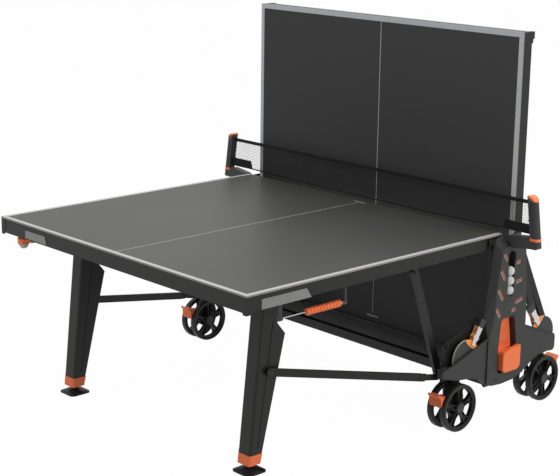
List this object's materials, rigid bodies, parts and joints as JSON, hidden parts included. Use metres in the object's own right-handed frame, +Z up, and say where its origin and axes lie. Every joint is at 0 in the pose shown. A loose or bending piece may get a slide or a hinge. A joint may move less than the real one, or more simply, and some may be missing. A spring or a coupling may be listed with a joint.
{
  "type": "ping pong table",
  "caption": "Outdoor folding ping pong table on wheels, one half down for play and the other stood up as a rebound wall.",
  "frame": {"origin": "on the floor, under the centre of the bounding box at rest", "axes": "+X along the net to the right seen from the near end, -Y towards the near end, +Z up"},
  "size_m": [1.8848, 1.754, 1.558],
  "materials": {
    "laminate": "fine matt grain with printed lines",
    "dark_steel": "satin powder coat",
    "orange_plastic": "satin",
    "bright_steel": "drawn",
    "black_plastic": "moulded",
    "caster_black": "moulded",
    "net_fabric": "open mesh with a coated top tape",
    "bat_body": "moulded",
    "ball_white": "matt",
    "grey_plastic": "moulded"
  },
  "bodies": {
    "chassis": {"cross_beams": "dark_steel", "side_frame_left": "dark_steel", "side_frame_right": "dark_steel", "side_housing_left": "grey_plastic", "side_housing_right": "grey_plastic", "bat_rack_left": "black_plastic", "bat_rack_right": "black_plastic", "net_post_left": "grey_plastic", "net_post_right": "grey_plastic", "net_post_trim": "orange_plastic", "net": "net_fabric"},
    "carriage_front": {"rollers_front": "bright_steel"},
    "top_front": {"board_front": "laminate", "end_apron_front": "dark_steel", "side_aprons_front": "dark_steel", "rails_front": "dark_steel", "score_wire": "bright_steel", "ball_clip": "orange_plastic"},
    "legs_front": {"leg_left_front": "dark_steel", "leg_right_front": "dark_steel", "leg_collars_front": "orange_plastic"},
    "tie_bar_left_front": {"tie_bar_left_front": "dark_steel"},
    "strut_left_front": {"strut_left_front": "dark_steel"},
    "foot_left_front": {"foot_left_front": "black_plastic"},
    "tie_bar_right_front": {"tie_bar_right_front": "dark_steel"},
    "strut_right_front": {"strut_right_front": "dark_steel"},
    "foot_right_front": {"foot_right_front": "black_plastic"},
    "carriage_rear": {"rollers_rear": "bright_steel"},
    "top_rear": {"board_rear": "laminate", "end_apron_rear": "dark_steel", "side_aprons_rear": "dark_steel", "rails_rear": "dark_steel"},
    "legs_rear": {"leg_left_rear": "dark_steel", "leg_right_rear": "dark_steel", "leg_collars_rear": "orange_plastic"},
    "tie_bar_left_rear": {"tie_bar_left_rear": "dark_steel"},
    "strut_left_rear": {"strut_left_rear": "dark_steel"},
    "foot_left_rear": {"foot_left_rear": "black_plastic"},
    "tie_bar_right_rear": {"tie_bar_right_rear": "dark_steel"},
    "strut_right_rear": {"strut_right_rear": "dark_steel"},
    "foot_right_rear": {"foot_right_rear": "black_plastic"},
    "caster_left_front": {"caster_fork_left_front": "caster_black"},
    "wheels_left_front": {"caster_wheels_left_front": "caster_black"},
    "brake_left_front": {"brake_pedal_left_front": "orange_plastic"},
    "caster_right_front": {"caster_fork_right_front": "caster_black"},
    "wheels_right_front": {"caster_wheels_right_front": "caster_black"},
    "brake_right_front": {"brake_pedal_right_front": "orange_plastic"},
    "caster_left_rear": {"caster_fork_left_rear": "caster_black"},
    "wheels_left_rear": {"caster_wheels_left_rear": "caster_black"},
    "brake_left_rear": {"brake_pedal_left_rear": "orange_plastic"},
    "caster_right_rear": {"caster_fork_right_rear": "caster_black"},
    "wheels_right_rear": {"caster_wheels_right_rear": "caster_black"},
    "brake_right_rear": {"brake_pedal_right_rear": "orange_plastic"},
    "lever_left": {"release_lever_left": "orange_plastic"},
    "lever_right": {"release_lever_right": "orange_plastic"},
    "bat_front": {"bat_front": "bat_body"},
    "bat_rear": {"bat_rear": "bat_body"},
    "balls": {"ball_stack": "ball_white"},
    "beads": {"score_beads": "orange_plastic"},
    "spare_ball": {"clip_ball": "ball_white"}
  },
  "joints": [
    {"name": "front_roller_slide", "type": "slide", "parent": "chassis", "child": "carriage_front", "axis": [0, 0, -1], "range_m": [0, 0.47101]},
    {"name": "front_fold", "type": "hinge", "parent": "carriage_front", "child": "top_front", "pos_m": [0, 0.422, 0.73], "axis": [-1, 0, 0], "range_deg": [0, 90]},
    {"name": "front_leg_fold", "type": "hinge", "parent": "top_front", "child": "legs_front", "pos_m": [0, -0.592, 0.672], "axis": [1, 0, 0], "range_deg": [0, 95.91]},
    {"name": "strut_left_front_swing", "type": "hinge", "parent": "chassis", "child": "strut_left_front", "pos_m": [-0.7235, 0.17816, 0.229], "axis": [-1, 0, 0], "range_deg": [0, 43.34]},
    {"name": "tie_bar_left_front_swing", "type": "hinge", "parent": "chassis", "child": "tie_bar_left_front", "pos_m": [-0.742, 0.156, 0.22467], "axis": [-1, 0, 0], "range_deg": [0, 93.92]},
    {"name": "foot_left_front_screw", "type": "slide", "parent": "legs_front", "child": "foot_left_front", "axis": [0, 0, -1], "range_m": [0, 0.02]},
    {"name": "strut_right_front_swing", "type": "hinge", "parent": "chassis", "child": "strut_right_front", "pos_m": [0.7235, 0.17816, 0.229], "axis": [-1, 0, 0], "range_deg": [0, 43.34]},
    {"name": "tie_bar_right_front_swing", "type": "hinge", "parent": "chassis", "child": "tie_bar_right_front", "pos_m": [0.742, 0.156, 0.22467], "axis": [-1, 0, 0], "range_deg": [0, 93.92]},
    {"name": "foot_right_front_screw", "type": "slide", "parent": "legs_front", "child": "foot_right_front", "axis": [0, 0, -1], "range_m": [0, 0.02]},
    {"name": "rear_roller_slide", "type": "slide", "parent": "chassis", "child": "carriage_rear", "axis": [0, 0, 1], "range_m": [0, 0.47101]},
    {"name": "rear_fold", "type": "hinge", "parent": "carriage_rear", "child": "top_rear", "pos_m": [0, 0.594, 0.259], "axis": [-1, 0, 0], "range_deg": [0, 90]},
    {"name": "rear_leg_fold", "type": "hinge", "parent": "top_rear", "child": "legs_rear", "pos_m": [0, 0.652, 1.273], "axis": [1, 0, 0], "range_deg": [0, 95.91]},
    {"name": "strut_left_rear_swing", "type": "hinge", "parent": "chassis", "child": "strut_left_rear", "pos_m": [-0.7235, 0.83784, 0.229], "axis": [-1, 0, 0], "range_deg": [0, 43.34]},
    {"name": "tie_bar_left_rear_swing", "type": "hinge", "parent": "chassis", "child": "tie_bar_left_rear", "pos_m": [-0.742, 0.86, 0.22467], "axis": [-1, 0, 0], "range_deg": [0, 93.92]},
    {"name": "foot_left_rear_screw", "type": "slide", "parent": "legs_rear", "child": "foot_left_rear", "axis": [0, -0.1028, -0.9947], "range_m": [0, 0.02]},
    {"name": "strut_right_rear_swing", "type": "hinge", "parent": "chassis", "child": "strut_right_rear", "pos_m": [0.7235, 0.83784, 0.229], "axis": [-1, 0, 0], "range_deg": [0, 43.34]},
    {"name": "tie_bar_right_rear_swing", "type": "hinge", "parent": "chassis", "child": "tie_bar_right_rear", "pos_m": [0.742, 0.86, 0.22467], "axis": [-1, 0, 0], "range_deg": [0, 93.92]},
    {"name": "foot_right_rear_screw", "type": "slide", "parent": "legs_rear", "child": "foot_right_rear", "axis": [0, -0.1028, -0.9947], "range_m": [0, 0.02]},
    {"name": "caster_left_front_swivel", "type": "hinge", "parent": "chassis", "child": "caster_left_front", "pos_m": [-0.769, 0.236, 0.205], "axis": [0, 0, 1], "continuous": true},
    {"name": "wheels_left_front_roll", "type": "hinge", "parent": "caster_left_front", "child": "wheels_left_front", "pos_m": [-0.769, 0.219, 0.0975], "axis": [1, 0, 0], "continuous": true},
    {"name": "brake_left_front_press", "type": "hinge", "parent": "caster_left_front", "child": "brake_left_front", "pos_m": [-0.769, 0.193, 0.1415], "axis": [1, 0, 0], "range_deg": [0, 4]},
    {"name": "caster_right_front_swivel", "type": "hinge", "parent": "chassis", "child": "caster_right_front", "pos_m": [0.769, 0.236, 0.205], "axis": [0, 0, 1], "continuous": true},
    {"name": "wheels_right_front_roll", "type": "hinge", "parent": "caster_right_front", "child": "wheels_right_front", "pos_m": [0.769, 0.219, 0.0975], "axis": [1, 0, 0], "continuous": true},
    {"name": "brake_right_front_press", "type": "hinge", "parent": "caster_right_front", "child": "brake_right_front", "pos_m": [0.769, 0.193, 0.1415], "axis": [1, 0, 0], "range_deg": [0, 4]},
    {"name": "caster_left_rear_swivel", "type": "hinge", "parent": "chassis", "child": "caster_left_rear", "pos_m": [-0.769, 0.78, 0.205], "axis": [0, 0, 1], "continuous": true},
    {"name": "wheels_left_rear_roll", "type": "hinge", "parent": "caster_left_rear", "child": "wheels_left_rear", "pos_m": [-0.769, 0.763, 0.0975], "axis": [1, 0, 0], "continuous": true},
    {"name": "brake_left_rear_press", "type": "hinge", "parent": "caster_left_rear", "child": "brake_left_rear", "pos_m": [-0.769, 0.789, 0.1415], "axis": [-1, 0, 0], "range_deg": [0, 4]},
    {"name": "caster_right_rear_swivel", "type": "hinge", "parent": "chassis", "child": "caster_right_rear", "pos_m": [0.769, 0.78, 0.205], "axis": [0, 0, 1], "continuous": true},
    {"name": "wheels_right_rear_roll", "type": "hinge", "parent": "caster_right_rear", "child": "wheels_right_rear", "pos_m": [0.769, 0.763, 0.0975], "axis": [1, 0, 0], "continuous": true},
    {"name": "brake_right_rear_press", "type": "hinge", "parent": "caster_right_rear", "child": "brake_right_rear", "pos_m": [0.769, 0.789, 0.1415], "axis": [-1, 0, 0], "range_deg": [0, 4]},
    {"name": "lever_left_pull", "type": "hinge", "parent": "chassis", "child": "lever_left", "pos_m": [-0.7775, 0.508, 0.402], "axis": [0, 1, 0], "range_deg": [0, 10]},
    {"name": "lever_right_pull", "type": "hinge", "parent": "chassis", "child": "lever_right", "pos_m": [0.7775, 0.508, 0.402], "axis": [0, -1, 0], "range_deg": [0, 10]},
    {"name": "bat_front_lift", "type": "slide", "parent": "chassis", "child": "bat_front", "axis": [0, 0, 1], "range_m": [0, 0.2]},
    {"name": "bat_rear_lift", "type": "slide", "parent": "chassis", "child": "bat_rear", "axis": [0, 0, 1], "range_m": [0, 0.2]},
    {"name": "balls_lift", "type": "slide", "parent": "chassis", "child": "balls", "axis": [0, 0, 1], "range_m": [0, 0.06]},
    {"name": "beads_slide", "type": "slide", "parent": "top_front", "child": "beads", "axis": [0, -1, 0], "range_m": [-0.012, 0.114]},
    {"name": "spare_ball_pull", "type": "slide", "parent": "top_front", "child": "spare_ball", "axis": [0, 0, -1], "range_m": [0, 0.05]}
  ],
  "couplings": [
    {"joint": "front_roller_slide", "follows": "front_fold", "m_per_rad": 0.29985},
    {"joint": "front_leg_fold", "follows": "front_fold", "ratio": 1.0656},
    {"joint": "strut_left_front_swing", "follows": "front_fold", "ratio": 0.48148},
    {"joint": "tie_bar_left_front_swing", "follows": "front_fold", "ratio": 1.0434},
    {"joint": "strut_right_front_swing", "follows": "front_fold", "ratio": 0.48148},
    {"joint": "tie_bar_right_front_swing", "follows": "front_fold", "ratio": 1.0434},
    {"joint": "rear_roller_slide", "follows": "rear_fold", "m_per_rad": 0.29985},
    {"joint": "rear_leg_fold", "follows": "rear_fold", "ratio": 1.0656},
    {"joint": "strut_left_rear_swing", "follows": "rear_fold", "ratio": 0.48148},
    {"joint": "tie_bar_left_rear_swing", "follows": "rear_fold", "ratio": 1.0434},
    {"joint": "strut_right_rear_swing", "follows": "rear_fold", "ratio": 0.48148},
    {"joint": "tie_bar_right_rear_swing", "follows": "rear_fold", "ratio": 1.0434}
  ]
}
